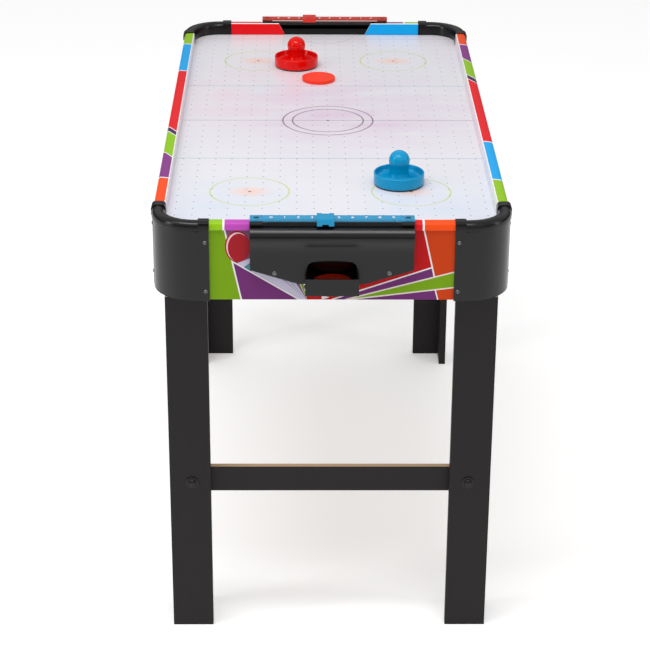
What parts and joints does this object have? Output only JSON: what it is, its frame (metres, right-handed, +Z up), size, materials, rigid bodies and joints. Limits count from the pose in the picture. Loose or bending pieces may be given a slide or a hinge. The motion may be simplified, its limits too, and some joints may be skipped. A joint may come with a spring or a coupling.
{
  "type": "air hockey table",
  "caption": "Children's air hockey table on four legs, with a fan-fed playing surface, goals with puck trays, sliding scorers, pushers and pucks.",
  "frame": {"origin": "on the floor under the centre of the table", "axes": "+Z up, +Y along the table from the blue scorer's end to the red scorer's end, +X to the right of a player at the blue end"},
  "size_m": [0.51, 1.07, 0.691],
  "materials": {
    "play_surface": "satin printed film on hardboard",
    "chamber_board": "bare hardboard and fibreboard",
    "printed_board": "fibreboard with a printed film",
    "printed_rail": "printed plastic cover",
    "charcoal_plastic": "moulded charcoal plastic",
    "black_plastic": "moulded black plastic",
    "score_bar_blue": "translucent blue plastic",
    "score_bar_red": "translucent red plastic",
    "slider_blue": "blue plastic",
    "slider_red": "red plastic",
    "leg_laminate": "fibreboard with a charcoal film",
    "raw_wood": "bare wood",
    "black_steel": "black coated steel",
    "pusher_blue": "glossy blue plastic",
    "pusher_red": "glossy red plastic",
    "felt": "black felt",
    "puck_red": "red plastic"
  },
  "bodies": {
    "table": {"playfield": "play_surface", "plenum_frame": "chamber_board", "base_panel": "chamber_board", "side_apron_left": "printed_board", "side_rail_left": "printed_rail", "side_apron_right": "printed_board", "side_rail_right": "printed_rail", "end_apron_front": "printed_board", "goal_housing_front": "charcoal_plastic", "score_bar_front": "score_bar_blue", "leg_crossbar_front": "leg_laminate", "end_apron_rear": "printed_board", "goal_housing_rear": "charcoal_plastic", "score_bar_rear": "score_bar_red", "leg_crossbar_rear": "leg_laminate", "end_rail_front_left": "printed_rail", "corner_cap_front_left": "charcoal_plastic", "score_block_front_left": "black_plastic", "leg_front_left": "leg_laminate", "corner_block_front_left": "raw_wood", "crossbar_bolt_front_left": "black_steel", "end_rail_front_right": "printed_rail", "corner_cap_front_right": "charcoal_plastic", "score_block_front_right": "black_plastic", "leg_front_right": "leg_laminate", "corner_block_front_right": "raw_wood", "crossbar_bolt_front_right": "black_steel", "end_rail_rear_left": "printed_rail", "corner_cap_rear_left": "charcoal_plastic", "score_block_rear_left": "black_plastic", "leg_rear_left": "leg_laminate", "corner_block_rear_left": "raw_wood", "crossbar_bolt_rear_left": "black_steel", "end_rail_rear_right": "printed_rail", "corner_cap_rear_right": "charcoal_plastic", "score_block_rear_right": "black_plastic", "leg_rear_right": "leg_laminate", "corner_block_rear_right": "raw_wood", "crossbar_bolt_rear_right": "black_steel", "blower_housing": "black_plastic", "blower_grille": "black_plastic", "switch_bezel": "black_plastic", "power_inlet": "black_plastic"},
    "slider_front": {"score_slider_front": "slider_blue"},
    "slider_rear": {"score_slider_rear": "slider_red"},
    "fan": {"fan_rotor": "black_plastic"},
    "rocker": {"switch_rocker": "black_plastic"},
    "pusher_blue": {"pusher_blue": "pusher_blue", "pusher_felt_blue": "felt"},
    "pusher_red": {"pusher_red": "pusher_red", "pusher_felt_red": "felt"},
    "table_puck": {"puck_on_table": "puck_red"},
    "tray_puck": {"puck_in_tray": "puck_red"}
  },
  "joints": [
    {"name": "score_slide_front", "type": "slide", "parent": "table", "child": "slider_front", "axis": [1, 0, 0], "range_m": [-0.074, 0.093]},
    {"name": "score_slide_rear", "type": "slide", "parent": "table", "child": "slider_rear", "axis": [1, 0, 0], "range_m": [-0.055, 0.111]},
    {"name": "fan_spin", "type": "hinge", "parent": "table", "child": "fan", "pos_m": [0, 0, 0.585], "axis": [0, 0, 1], "continuous": true},
    {"name": "switch_rock", "type": "hinge", "parent": "table", "child": "rocker", "pos_m": [0.142, 0.5063, 0.618], "axis": [0, 0, 1], "range_deg": [-16, 0]},
    {"name": "pusher_glide_blue", "type": "slide", "parent": "table", "child": "pusher_blue", "axis": [0, 1, 0], "range_m": [-0.155, 0.25]},
    {"name": "pusher_glide_red", "type": "slide", "parent": "table", "child": "pusher_red", "axis": [1, 0, 0], "range_m": [-0.143, 0.245]},
    {"name": "puck_glide", "type": "slide", "parent": "table", "child": "table_puck", "axis": [1, 0, 0], "range_m": [-0.19, 0.215]},
    {"name": "tray_puck_tip", "type": "hinge", "parent": "table", "child": "tray_puck", "pos_m": [0.001, -0.5293, 0.5646], "axis": [1, 0, 0], "range_deg": [0, 20]}
  ]
}
